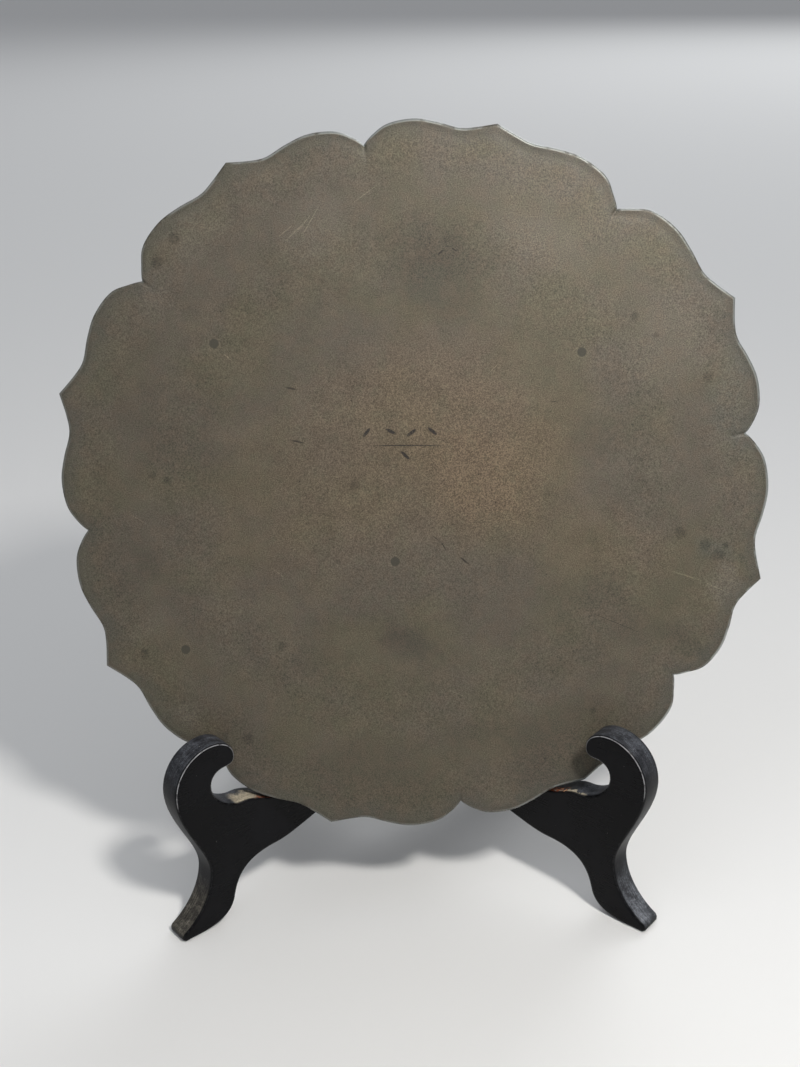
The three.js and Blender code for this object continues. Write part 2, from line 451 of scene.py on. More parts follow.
low = PLATE + SEAT[1]
profile = [(0, PLATE - 1), (SEAT[0], PLATE - 1), (SEAT[0], PLATE + 0.35), (SEAT[0] - 0.25, low - 0.25),
           (SEAT[0] - 0.8, low - 0.03), (KNOB[0] + 0.6, low), (KNOB[0], low + 0.15)]
profile += bend((KNOB[0], low + 0.15), (KNOB[0], 10.5), (0.6 * KNOB[0], KNOB[1]), (0, KNOB[1]), 24)
knob = link("knob", turned(profile, 96))
drill = link("drill", turned([(0, -20), (1, -20), (1, 20), (0, 20)], 48))
for corner in drill.data.vertices:
    x, y, z = corner.co
    corner.co = (y, HOLE[2] + x * HOLE[1], z * HOLE[0])
drill.data.flip_normals()  # swapping two axes turned the drill inside out
print("knob's profile:", len(profile), "points")

# %% Cut, remesh and rub the knob smooth
FINENESS = 0.36  # size of the cells in the knob's even skin

cut = knob.modifiers.new("cord hole", "BOOLEAN")
cut.operation = "DIFFERENCE"
cut.object = drill
cut.solver = "EXACT"
even = knob.modifiers.new("even skin", "REMESH")
even.mode = "VOXEL"
even.voxel_size = FINENESS
rub = knob.modifiers.new("rubbed", "SMOOTH")
rub.factor = 0.5
rub.iterations = 5
depsgraph = bpy.context.evaluated_depsgraph_get()
knob_mesh = bpy.data.meshes.new_from_object(knob.evaluated_get(depsgraph))
bpy.data.objects.remove(knob)
bpy.data.objects.remove(drill)
handles = 2 - (len(knob_mesh.vertices) - len(knob_mesh.edges) + len(knob_mesh.polygons))
print("knob:", len(knob_mesh.polygons), "faces,", handles // 2, "hole right through it")

# %% Join the knob to the casting and lean the mirror in its stand
LEAN = math.radians(16.4)
TURN = math.radians(7.1)  # the cusps are turned this far from level
CENTRE = Vector((3.4, 52.2, 147.0))
LAST_OF_FACE = 1.25  # the face's finish goes round the arris to this depth

back_to_flat = Matrix.Rotation(LEAN, 3, "X")
whole = bmesh.new()
whole.from_mesh(mirror_mesh)
bmesh.ops.rotate(whole, verts=whole.verts, matrix=Matrix.Rotation(-TURN, 3, "Y"))
whole.from_mesh(knob_mesh)
bmesh.ops.recalc_face_normals(whole, faces=whole.faces)
bmesh.ops.rotate(whole, verts=whole.verts, matrix=Matrix.Rotation(-LEAN, 3, "X"))
for corner in whole.verts:
    corner.co = placed(corner.co + CENTRE)
for facet in whole.faces:
    flat = back_to_flat @ ((facet.calc_center_median() - placed(CENTRE)) / MM)
    facet.smooth = True
    facet.material_index = 1 if flat.y > LAST_OF_FACE else 0
mirror_mesh.materials.clear()  # this forgets which face has which material, so it comes first
mirror_mesh.materials.append(bronze)
mirror_mesh.materials.append(bronze_back)
whole.to_mesh(mirror_mesh)
whole.free()
print("faces with the back's finish:", sum(facet.material_index for facet in mirror_mesh.polygons))
mirror = link("mirror_casting", mirror_mesh)
report(mirror, "bronze_mirror")

# %% [markdown]
# ## The two boards of the stand
#
# Each board was sawn from one plank to the same outline: an ogee foot, a long low back, a short upright and
# a hook in front that holds the mirror's edge. The outline is a list of straight cuts and bends. To give
# the flat sides a hand-rubbed edge, the outline is drawn again a little smaller for each step round
# the edge, like contour lines, and the steps are joined into a skin.

# %% The outline of a board
SAWN = (
    ("line", (0, 1)),
    ("line", (0, 2.2)),
    ("line", (0.55, 3.2)),
    ("bend", (6.3, 6.4), (12.4, 13), (13.2, 22.5)),
    ("bend", (13.8, 31), (2.6, 43.5), (2.6, 56)),
    ("bend", (2.6, 65), (9.5, 71.6), (17.3, 71.6)),
    ("bend", (22, 71.6), (26.3, 69), (26.3, 64.5)),
    ("bend", (26.3, 62.2), (25, 61.2), (22.6, 61.2)),
    ("bend", (19, 61.2), (16.6, 59.5), (16.6, 55.5)),
    ("bend", (16.6, 50.5), (22, 45.2), (28, 45.2)),
    ("bend", (33, 45.4), (37, 41.45), (42.9, 41.45)),
    ("line", (48.4, 54)),
    ("round", (81.9, 116), 8.4, 158.5, -12),
    ("bend", (86.5, 95), (80, 82), (92, 68)),
    ("bend", (100, 58.5), (116, 60), (130, 57)),
    ("bend", (156, 52), (178.2, 40), (178.8, 22.5)),
    ("bend", (179.6, 13), (185.7, 6.4), (191.45, 3.2)),
    ("line", (192, 2.2)),
    ("line", (192, 1)),
    ("line", (191, 0)),
    ("line", (183, 0)),
    ("bend", (177, 0.6), (171.8, 2.2), (170.2, 8)),
    ("bend", (168.6, 14), (166.5, 21.5), (152, 21.8)),
    ("bend", (140, 22), (126, 32), (96, 32)),
    ("bend", (66, 32), (52, 22), (40, 21.8)),
    ("bend", (25.5, 21.5), (23.4, 14), (21.8, 8)),
    ("bend", (20.2, 2.2), (15, 0.6), (9, 0)),
)


def sawn_outline(steps):
    """The outline's points, clockwise from the front toe, as distances along the board and heights."""
    points = [(1.0, 0.0)]
    for kind, *rest in SAWN:
        if kind == "line":
            points.append(rest[0])
        elif kind == "bend":
            points += bend(points[-1], *rest, steps)
        else:
            (along, height), radius, start, end = rest
            for step in range(2 * steps + 1):
                angle = math.radians(start + (end - start) * step / (2 * steps))
                points.append((along + radius * math.cos(angle), height + radius * math.sin(angle)))
    return points


cut_line = sawn_outline(16)
print("points on a board's outline:", len(cut_line))


# %% Draw an outline smaller, as a contour line
def drawn_smaller(points, distance):
    """The clockwise outline moved inwards by a distance."""
    moved = []
    for i, here in enumerate(points):
        before, after = points[i - 1], points[(i + 1) % len(points)]
        a = Vector((here[0] - before[0], here[1] - before[1])).normalized()
        b = Vector((after[0] - here[0], after[1] - here[1])).normalized()
        inward = Vector((a.y + b.y, -a.x - b.x)).normalized()
        stretch = max(inward.dot(Vector((a.y, -a.x))), 0.5)
        moved.append((here[0] + inward.x * distance / stretch, here[1] + inward.y * distance / stretch))
    return moved


# %% Saw a board and round its edges
EDGE = 0.95  # radius of the rubbed edge


def board_skin(outline):
    """A closed solid of the outline, BOARD thick, its two edges rounded."""
    contours = [(1.45, 0.0)]
    for step in range(5):
        turn = math.radians(90 * step / 4)
        contours.append((EDGE * (1 - math.sin(turn)), EDGE * (1 - math.cos(turn))))
    contours += [(inset, BOARD - level) for inset, level in reversed(contours)]
    skin = bmesh.new()
    rings = []
    for inset, level in contours:
        rings.append([skin.verts.new((u, v, level)) for u, v in drawn_smaller(outline, inset)])
    for lower, upper in zip(rings, rings[1:]):
        for i in range(len(lower)):
            j = (i + 1) % len(lower)
            skin.faces.new((lower[i], lower[j], upper[j], upper[i]))
    skin.faces.new(rings[0])
    skin.faces.new(list(reversed(rings[-1])))
    bmesh.ops.recalc_face_normals(skin, faces=skin.faces)
    mesh = bpy.data.meshes.new("board")
    skin.to_mesh(mesh)
    skin.free()
    return mesh


# %% Halve a board and stand it in its place
TOES = 78.7  # half the distance between the front toes
HALVING = 46.2  # height where one board's slot ends and the other's begins
PLAY = 0.3  # clearance in the joint
SAW = 60  # height of the block that cuts the slot
BROAD = 30  # square millimetres; larger faces stay flat


def board(name, side, lacquer):
    """One board in its place; side is -1 for the left one and 1 for the right one."""
    run = Vector((-side * math.sin(SPREAD), math.cos(SPREAD), 0))
    up = Vector((0, 0, 1))
    through = run.cross(up)
    sawn = link(name, board_skin(cut_line))
    crossing = (TOES + math.cos(SPREAD) * BOARD / 2) / math.sin(SPREAD)
    bpy.ops.mesh.primitive_cube_add(size=1)
    saw = bpy.context.object
    reach = Matrix.Diagonal((BOARD + 2 * PLAY, SAW, 4 * BOARD, 1))
    slant = Matrix.Rotation(side * (math.pi / 2 - 2 * SPREAD), 4, "Y")
    height = HALVING - side * (SAW / 2 - PLAY / 2)
    middle = Matrix.Translation((crossing, height, BOARD / 2))
    saw.data.transform(middle @ slant @ reach)
    halve = sawn.modifiers.new("halving", "BOOLEAN")
    halve.operation = "DIFFERENCE"
    halve.object = saw
    halve.solver = "EXACT"
    graph = bpy.context.evaluated_depsgraph_get()
    mesh = bpy.data.meshes.new_from_object(sawn.evaluated_get(graph))
    bpy.data.objects.remove(saw)
    bpy.data.objects.remove(sawn)
    toe = Vector((side * TOES, 0, 0))
    for corner in mesh.vertices:
        u, v, w = corner.co
        level = w if side > 0 else w - BOARD
        corner.co = placed(toe + run * u + up * v + through * level)
    tidy = bmesh.new()
    tidy.from_mesh(mesh)
    bmesh.ops.remove_doubles(tidy, verts=tidy.verts, dist=0.002 * MM)
    bmesh.ops.recalc_face_normals(tidy, faces=tidy.faces)
    for facet in tidy.faces:
        facet.smooth = facet.calc_area() < BROAD * MM * MM
    tidy.to_mesh(mesh)
    tidy.free()
    mesh.materials.clear()
    mesh.materials.append(lacquer)
    return link(name, mesh)


left_board = board("lacquered_board_left", -1, lacquer_left)
right_board = board("lacquered_board_right", 1, lacquer_right)
report(left_board, "stand_board_left")
report(right_board, "stand_board_right")

# %% [markdown]
# ## How a finish is worked out
#
# A shader tree is easier to read as sums than as boxes and wires. The same small class that built the
# casting's tree does it here: Python's signs on values add Math nodes, colours are laid over each other with
# Mix nodes, and one method adds any other node. Every pattern reads Object coordinates, turned by a Mapping
# node so that they lie square on the piece and count in millimetres.


# %% A bench for one finish
def paint(red, green, blue):
    """A colour given from 0 to 255, as the linear colour that light is worked out in."""
    return tuple(((c / 255 + 0.055) / 1.055) ** 2.4 for c in (red, green, blue))


class Patterned(Bench):
    """The tree of one material, with the few patterns that all the finishes are made of."""

    def __init__(self, material):
        material.use_nodes = True
        material.node_tree.nodes.clear()
        super().__init__(material.node_tree)

    def lie_on(self, middle, turn):
        """Millimetres along a piece's own directions."""
        where = self.add("ShaderNodeTexCoord", None, None, "Object")
        settings = {"vector_type": "TEXTURE"}
        sockets = {"Vector": where, "Location": middle, "Rotation": turn, "Scale": (MM, MM, MM)}
        at = self.add("ShaderNodeMapping", settings, sockets)
        self.loose = self.vector("ADD", at, (431, 257, 713))  # away from where all noises meet
        self.x, self.y, self.z = [self.part(at, axis) for axis in "XYZ"]

    def cloud(self, size, detail=2.0, roughness=0.55, at=None):
        """Soft noise about 0.5 whose lumps are about size millimetres across."""
        sockets = {"Vector": at or self.loose, "Scale": 1 / size, "Detail": detail, "Roughness": roughness}
        return self.add("ShaderNodeTexNoise", {"noise_dimensions": "3D"}, sockets, 0)

    def ramp(self, value, start, end):
        """0 at start, 1 at end, eased; start may be the greater one."""
        return self.add("ShaderNodeMapRange", {"interpolation_type": "SMOOTHSTEP"},
                        {0: value, 1: float(start), 2: float(end)})

    def lay(self, share, over, under):
        """The colour over laid on the colour under."""
        return self.add("ShaderNodeMix", {"data_type": "VECTOR"}, {0: share, 4: under, 5: over}, 1)

    def left_by_casting(self, name):
        """A value that every corner of the piece carries."""
        return self.add("ShaderNodeAttribute", {"attribute_name": name}, None, "Fac")

    def greater(self, *values):
        """The greatest of several masks."""
        top = values[0]
        for value in values[1:]:
            top = self.maths("MAXIMUM", top, value)
        return top

    def grains(self, spacing, size, share):
        """Round dots on a jittered grid; only a share of the cells has one."""
        settings = {"feature": "F1", "voronoi_dimensions": "3D"}
        sockets = {"Vector": self.loose, "Scale": 1 / spacing}
        away = self.add("ShaderNodeTexVoronoi", settings, sockets, "Distance")
        tint = Val(self, away.socket.node.outputs["Color"])
        luck = self.add("ShaderNodeSeparateColor", None, {0: tint}, 0)
        near = self.ramp(away, size / spacing, 0.35 * size / spacing)
        return near * self.maths("LESS_THAN", luck, share)


# %% Marks that are placed one by one
class Finish(Patterned):
    """Adds spots and strokes to the patterns, and the shader that ends the tree."""

    def squared(self, middle, half, slope=0.0):
        """The square of the distance from a mark's middle, 1 on the oval with these half sizes."""
        cos, sin = math.cos(slope), math.sin(slope)
        total = 0.0
        for a, b, size in ((cos, sin, half[0]), (-sin, cos, half[1])):
            part = -(middle[0] * a + middle[1] * b) / size
            for axis, way in ((self.z, b), (self.x, a)):
                if abs(way) > 1e-6:
                    part = self.maths("MULTIPLY_ADD", axis, way / size, part)
            total = self.maths("MULTIPLY_ADD", part, part, total)
        return total

    def spots(self, marks):
        """Nearness to round marks, each given by its place and radius."""
        least = 99.0
        for x, z, radius in marks:
            least = self.maths("MINIMUM", self.squared((x, z), (radius, radius)), least)
        return least

    def strokes(self, marks):
        """Nearness to thin straight marks, each given by its two ends and its width."""
        least = 99.0
        for (x, z), (u, w), width in marks:
            middle, half = ((x + u) / 2, (z + w) / 2), (math.hypot(u - x, w - z) / 2, width / 2)
            least = self.maths("MINIMUM", self.squared(middle, half, math.atan2(w - z, u - x)), least)
        return least

    def close(self, relief, **sockets):
        """Connects the relief, in millimetres, and the other values to the shader, and that to the piece."""
        bumps = {"Strength": 1.0, "Distance": MM, "Height": relief}
        sockets["Normal"] = self.add("ShaderNodeBump", None, bumps)
        shader = self.tree.nodes.new("ShaderNodeBsdfPrincipled")
        for name, value in sockets.items():
            self.plug(shader.inputs[name.replace("_", " ")], value)
        end = self.tree.nodes.new("ShaderNodeOutputMaterial")
        self.tree.links.new(shader.outputs[0], end.inputs["Surface"])
        print("nodes in this finish:", len(self.tree.nodes))


# %% [markdown]
# ## Patinated bronze: the ground
#
# Centuries have turned the once bright face to a dull, warm grey-brown skin. Close to, it is a fine pepper
# and salt of lighter and darker grains; from farther off it clouds from olive to a purplish grey, warms to
# a rosy tan in the middle, where hands have rubbed it and where a painted warm sheen stands in for a
# reflection, and cools to grey-green along the edge. A single noise would look like stone. Several of them,
# each at the size of the thing that it paints, do not. The broad clouds have places of their own, so soft
# ovals are left as values on the casting's corners.

# %% Where the clouds are
# The warm ovals are partly rubbed patina and partly a painted warm sheen, right of the middle, in place of a
# reflection.
WARMER = (  # middle, half width and half height, slope in degrees, strength
    ((20, 3), (38, 27), -15, 0.85), ((16, 9), (54, 44), 0, 0.6), ((0, 20), (58, 40), 25, 0.45),
    ((-20, -2), (70, 44), 10, 0.3), ((60, -20), (40, 18), -15, 0.25),
)
# Some of the darker ovals, along the bottom and the left edge, are painted shade; the others are patina.
DARKER = (
    ((10, 72), (25, 20), -20, 0.8), ((19, 59), (12, 9), 0, 0.45), ((-5, -50), (15, 7), -45, 0.95),
    ((-1, -56), (9, 6), -30, 0.6), ((65, -44), (24, 15), -35, 0.45), ((88, -56), (13, 9), -40, 0.6),
    ((66, 17), (22, 14), 10, 0.35), ((-78, 22), (26, 30), 40, 0.4), ((-89, -24), (9, 7), 0, 0.6),
    ((-58, -87), (22, 12), -30, 0.4), ((20, -88), (34, 11), 5, 0.35), ((-40, -62), (26, 14), -20, 0.25),
    ((-20, -104), (58, 17), -4, 0.5), ((48, -94), (34, 18), 24, 0.7), ((-104, -20), (12, 26), 10, 0.4),
)
# The paler oval at the top left, at (-70, 84), is a painted sheen; the others are paler patina.
PALER = (
    ((44, 78), (26, 14), -40, 0.5), ((84, 42), (16, 24), -20, 0.4), ((-70, 84), (22, 12), 40, 0.5),
    ((-30, 84), (16, 12), 50, 0.45), ((-86, 62), (9, 12), 30, 0.45), ((104, -36), (10, 8), -30, 0.9),
    ((-79, -76), (7, 4), -30, 0.7), ((-92, -48), (12, 10), 0, 0.3),
)
GREENER = (
    ((10, 64), (14, 8), 0, 0.3), ((102, -25), (10, 6), -20, 0.9), ((108, 22), (8, 26), 0, 0.7),
    ((96, -62), (10, 8), -40, 0.5), ((-104, 40), (7, 22), -20, 0.3), ((0, -56), (10, 7), -30, 0.15),
)

print("clouds:", len(WARMER + DARKER + PALER + GREENER))


# %% Paint the clouds on the casting's own corners
def eased(value):
    """0 to 1 without corners."""
    value = min(max(value, 0.0), 1.0)
    return value * value * (3 - 2 * value)


def clouded(x, z, places):
    """The strongest of some soft ovals at a point of the face."""
    best = 0.0
    for (u, w), (wide, high), slope, strength in places:
        cos, sin = math.cos(math.radians(slope)), math.sin(math.radians(slope))
        a = ((x - u) * cos + (z - w) * sin) / wide
        b = ((z - w) * cos - (x - u) * sin) / high
        best = max(best, strength * eased(1.3 * (1 - math.hypot(a, b))))
    return best


SEED = 29  # without one, the noise would fray the clouds in another way on every run
noise.seed_set(SEED)
flat_points = [back_to_flat @ ((corner.co - placed(CENTRE)) / MM) for corner in mirror_mesh.vertices]
for name, places in (("warm", WARMER), ("dark", DARKER), ("pale", PALER), ("green", GREENER)):
    layer = mirror_mesh.attributes.new(name, "FLOAT", "POINT")
    values = []
    for point in flat_points:
        drift = noise.noise_vector(point / 21) * 9 + noise.noise_vector(point / 8) * 4  # frays the ovals
        values.append(clouded(point.x + drift.x, point.z + drift.z, places))
    layer.data.foreach_set("value", values)
    print(name, "covers", round(sum(values) / len(values), 3), "of the corners")

# %% Lie on the face and lay the ground
EDGE_RADIUS = 118.0  # the middle one of the outline's radii
skin = Finish(bronze)
skin.lie_on(placed(CENTRE), (-LEAN, 0, 0))
share, warm, dark, pale, green = [
    skin.left_by_casting(name) for name in ("share", "warm", "dark", "pale", "green")
]
inside = (1 - share) * EDGE_RADIUS  # millimetres in from the edge

OLIVE = paint(87, 81, 65)
PURPLISH = paint(87, 80, 69)
TAN = paint(116, 99, 79)
COOL = paint(76, 75, 68)
DARK = paint(71, 65, 55)
coarse = skin.cloud(7.5, 3.0, 0.62)
ground = skin.lay(skin.ramp(skin.cloud(33, 2.0), 0.38, 0.62), PURPLISH, OLIVE)
ground = skin.lay(skin.ramp(skin.cloud(14, 3.0), 0.48, 0.7) * 0.45, paint(96, 88, 72), ground)
# rosy tan: rubbed patina with a painted warm sheen standing in for a reflection
ground = skin.lay(warm * 0.85, TAN, ground)
# darker patina, and painted shade along the bottom and the left edge
ground = skin.lay(dark * (0.6 + coarse * 0.7), DARK, ground)
# paler patina, with a painted sheen at the top left
ground = skin.lay(pale * 0.7, paint(106, 99, 88), ground)
ground = skin.lay(green * 0.4, paint(74, 81, 75), ground)
print("ground and clouds laid")

# %% [markdown]
# ## Patinated bronze: the edge, the grain and the marks
#
# The arris has been rubbed by cloths and hands until the metal shows as a thin cooler line, and a painted
# highlight makes it paler on the right, where the light falls, than on the left; just inside it dirt has
# stayed. Four round grey-green spots, some stains, hairline scratches and a few faded strokes of ink are
# placed one by one, because chance would not put them where they are.

# %% Edge and grain
margin = skin.ramp(inside + 8 * (coarse - 0.5), 9.0, 0.5)
ground = skin.lay(margin * 0.55, COOL, ground)
dirt = skin.ramp(inside, 3.2, 1.4) * skin.ramp(inside, 0.6, 1.5) * skin.ramp(coarse, 0.4, 0.6)
ground = skin.times(ground, 1 - 0.28 * dirt)

fine = skin.cloud(0.66, 2.0, 0.75)
pepper = skin.cloud(0.36, 0.0)
rosy = skin.cloud(4.3, 2.0, 0.6)
ground = skin.lay(skin.ramp(rosy, 0.46, 0.66) * 0.28, paint(96, 83, 69), ground)
ground = skin.lay(skin.ramp(rosy, 0.5, 0.34) * 0.25, paint(84, 82, 66), ground)
contrast = 1.25 + 0.35 * warm + 0.25 * skin.ramp(skin.x + skin.z, 40, 130)
grain = 1 + contrast * ((fine - 0.5) * 0.55 + (pepper - 0.5) * 0.95) + (coarse - 0.5) * 0.32
ground = skin.times(ground, grain)
pits = skin.grains(1.05, 0.26, 0.2 + 0.16 * warm) * (0.7 + 0.5 * warm)
pricks = skin.grains(8.0, 0.42, 0.5)
ground = skin.times(ground, (1 - 0.5 * pits) * (1 - 0.45 * pricks))
print("grain, pits and pinpricks laid")

# %% Where the marks are
SPOTS = ((-64.8, 47.5, 1.75), (56.4, 41.9, 1.75), (-6.8, -26.4, 1.75), (-78.6, -55.0, 1.75))
STAINS = (  # middle and radius, as for the spots
    (-76.6, 81.8, 2.4), (-82.4, 74.2, 2.8), (-87.2, 4.4, 1.8), (-82.5, 2.7, 2.0), (-46, -54.4, 1.9),
    (-92.5, -56.1, 2.1), (-58.6, -86.6, 2.6), (98.3, 32.9, 2.2), (80.8, 46.8, 1.3), (73.9, 53, 1.7),
    (59.3, -79.2, 1.5), (-26.2, -26.1, 1.2), (89.3, -19, 2.4), (-19.5, -0.5, 2.2), (35.6, 28.3, 0.8),
    (97.3, -23.2, 2.3), (101.8, -26.6, 2.6), (104.2, -23.6, 1.5),
)
BRIGHT = (  # scratches that shine: two ends and a width
    ((-63.2, 45.5), (-58.1, 40.7), 0.45), ((-28, 92.6), (-35.1, 80.8), 0.5),
    ((-30.6, 89.6), (-37.8, 81.2), 0.5), ((-32.9, 86.6), (-41, 79.4), 0.55),
    ((-37, 85.7), (-43.4, 80.7), 0.5), ((84.2, -31.1), (96.6, -35.5), 0.75),
    ((95.6, -35.2), (107.1, -40.6), 0.35), ((-49.1, -27.2), (-43.6, -31.4), 0.5),
    ((-19.7, 90.4), (-7.6, 98.8), 0.4), ((24, 34), (31, 41), 0.3),
    ((-96, -8), (-88, -13), 0.3), ((8, -70), (17, -74), 0.3),
)
DEEP = (  # scratches that have filled with dirt
    ((14.6, -25.1), (18.7, -28.5), 0.85), ((5.9, -17.9), (7.9, -19.6), 0.5),
    ((9.3, 74.3), (11.7, 76.3), 0.7), ((14.1, 76.8), (15.9, 75.3), 0.6),
    ((56.2, -44.3), (77.7, -53.6), 0.24), ((-42.2, 32.7), (-37.5, 31.7), 0.9),
    ((-41.2, 15.3), (-35.6, 13.9), 0.8), ((45.6, 26.2), (48.8, 25.5), 0.4),
    ((8.5, -19.5), (10.5, -23.4), 0.45),
)
INK = (  # five slanted strokes and a rule
    ((-16.6, 15.4), (-13.9, 18.8), 1.3), ((-9.2, 18.3), (-5.2, 16.2), 1.35), ((-2.2, 15.3), (1.4, 18.0), 1.3),
    ((4.9, 18.5), (8.3, 15.6), 1.35), ((-4.2, 10.8), (-1.0, 7.6), 1.3), ((-14.5, 12.75), (11.5, 12.2), 0.42),
)
print("marks:", len(SPOTS) + len(STAINS) + len(BRIGHT) + len(DEEP) + len(INK))

# %% Lay the marks
nearness = skin.spots(SPOTS)
cores = skin.ramp(nearness, 1.0, 0.6)
rings = skin.ramp(nearness, 2.4, 1.3) * (1 - cores)
ground = skin.times(ground, 1 + 0.1 * rings)
ground = skin.lay(cores * 0.9, paint(57, 54, 44), ground)
stains = skin.ramp(skin.spots(STAINS) + 1.6 * (fine - 0.5) + 1.2 * (coarse - 0.5), 1.0, 0.1)
ground = skin.times(ground, 1 - 0.3 * stains)
ground = skin.times(ground, 1 + 0.5 * skin.ramp(skin.strokes(BRIGHT), 1.0, 0.05))
ground = skin.times(ground, 1 - 0.62 * skin.ramp(skin.strokes(DEEP), 1.0, 0.1))
ink = skin.ramp(skin.strokes(INK), 1.0, 0.4) * skin.ramp(pepper, 0.2, 0.45) * 0.92
ground = skin.lay(ink, paint(30, 29, 30), ground)
print("nodes so far:", len(skin.tree.nodes))

# %% The rubbed arris with its painted highlight, and the face's roughness, metal and relief
# The light falls from the right and above, so the arris is painted paler there as a highlight.
lit_side = 0.35 + 0.65 * skin.ramp(skin.x + 0.5 * skin.z, -60, 40)
arris = skin.ramp(inside, 1.3, 0.65) * lit_side * skin.ramp(coarse, 0.35, 0.55)
# painted highlight on the rubbed arris, strongest on the lit right side and the top
ground = skin.lay(arris * 0.85, paint(158, 161, 157), ground)
roughness = 0.53 + (coarse - 0.5) * 0.25 + (fine - 0.5) * 0.25 - 0.07 * warm + 0.1 * dark
roughness = roughness + 0.06 * margin - 0.2 * arris + 0.1 * cores
metal = 0.34 + 0.12 * warm + 0.4 * arris - 0.2 * cores
height = 0.010 * fine + 0.008 * pepper - 0.02 * pits
skin.close(height, Base_Color=ground, Roughness=roughness, Metallic=metal)

# %% [markdown]
# ## Patinated bronze: the back
#
# Nobody polished the back, so it keeps the skin of the mould: darker, browner, a little rough. The corners
# beside the rim, the ridge and the knob's seat are made darker and carry grey-green bloom, and handling has
# rubbed their tops lighter. The masks follow the share of the radius that the casting's tree left on every
# corner, so they run along the lobes instead of in circles.

# %% The back
back = Finish(bronze_back)
back.lie_on(placed(CENTRE), (-LEAN, 0, 0))
share = back.left_by_casting("share")
from_knob = (back.x * back.x + back.z * back.z) ** 0.5
tops = back.greater(
    back.ramp(back.y, PLATE + 0.7, PLATE + 1.2) * back.ramp(share, 0.59, 0.6) * back.ramp(share, 0.65, 0.64),
    back.ramp(back.y, RIM - 0.4, RIM - 0.06) * back.ramp(share, 0.92, 0.935),
    back.ramp(back.y, PLATE + 3.0, KNOB[1] - 1.0),
)
corners = back.greater(
    back.ramp(share, 0.575, 0.598) * back.ramp(share, 0.61, 0.6),
    back.ramp(share, 0.672, 0.648) * back.ramp(share, 0.636, 0.645),
    back.ramp(share, 0.88, 0.918) * back.ramp(share, 0.935, 0.926),
    back.ramp(from_knob, 21, SEAT[0] + 0.3) * back.ramp(from_knob, SEAT[0] - 0.6, SEAT[0]),
    back.ramp(from_knob, KNOB[0] + 1.6, KNOB[0] + 0.3) * back.ramp(back.y, PLATE + 2.4, PLATE + 1.1),
)
coarse = back.cloud(7.5, 3.0, 0.62)
fine = back.cloud(1.0, 1.0, 0.7)
broad = back.cloud(21, 3.0)
cast_skin = back.lay(back.ramp(broad, 0.4, 0.62), paint(77, 69, 56), paint(92, 83, 68))
cast_skin = back.lay(back.ramp(back.cloud(11, 3.0), 0.52, 0.68) * 0.6, paint(76, 82, 69), cast_skin)
cast_skin = back.times(cast_skin, 1 + (fine - 0.5) * 0.6 + (coarse - 0.5) * 0.4)
bloom = corners * back.ramp(coarse + 0.25 * corners, 0.5, 0.75)
# the corners are made darker and carry grey-green bloom
cast_skin = back.lay(bloom * 0.7, paint(76, 90, 76), back.times(cast_skin, 1 - 0.35 * corners))
rubbed = tops * (0.55 + 0.45 * back.ramp(coarse, 0.4, 0.6))
cast_skin = back.lay(rubbed * 0.75, paint(122, 107, 84), cast_skin)
roughness = 0.62 + (coarse - 0.5) * 0.3 - 0.18 * rubbed + 0.1 * bloom
metal = 0.34 + 0.25 * rubbed - 0.25 * bloom
height = 0.07 * back.cloud(2.3, 3.0) + 0.02 * fine
back.close(height, Base_Color=cast_skin, Roughness=roughness, Metallic=metal)

# %% [markdown]
# ## Black lacquer on wood
#
# The boards are black all through their lacquer, satin from handling. On the narrow sides the brush and
# the rubbing stone went lengthwise and left fine streaks, and dust lies in them where they face upwards;
# there, and most on the toes, the dust is painted paler as a sheen of the light from above. On the broad
# sides the black is smoother and deeper. The arrises have rubbed thin, and on the hooks they carry a painted
# highlight. Where the bronze sits, the lacquer is gone: bare pale wood shows, with the red-brown priming
# round it. Each board needs its own material, because the worn places lie by the board's own directions.


# %% Where a point lies on a board
def lie_on_board(material, side):
    """The bench of one board's finish, with its directions and the noises that several layers share."""
    coat = Finish(material)
    coat.lie_on(placed((side * TOES, 0, 0)), (0, 0, math.pi / 2 + side * SPREAD))
    coat.along, coat.height = coat.x, coat.z
    coat.level = -side * coat.y  # 0 at the face towards the viewer
    stretched = {"X": coat.along / 16, "Y": coat.level / 0.28, "Z": coat.height / 16}
    streaked = coat.add("ShaderNodeCombineXYZ", None, stretched)
    coat.streaks = coat.cloud(1.0, 2.0, 0.6, streaked)
    coat.mottle = coat.cloud(14, 3.0)
    coat.granular = coat.ramp(coat.cloud(0.55, 1.0), 0.33, 0.62)
    coat.narrow = coat.ramp(coat.level, 0.35, 0.9) * coat.ramp(coat.level, BOARD - 0.35, BOARD - 0.9)
    return coat


# %% The black, its dust and a painted sheen on upward faces
# The toes' dust colours also stand for a painted sheen on the toe tops.
TOE_DUST_AND_SHEEN = {-1: paint(120, 115, 105), 1: paint(132, 135, 141)}  # browner on one toe, greyer on the other


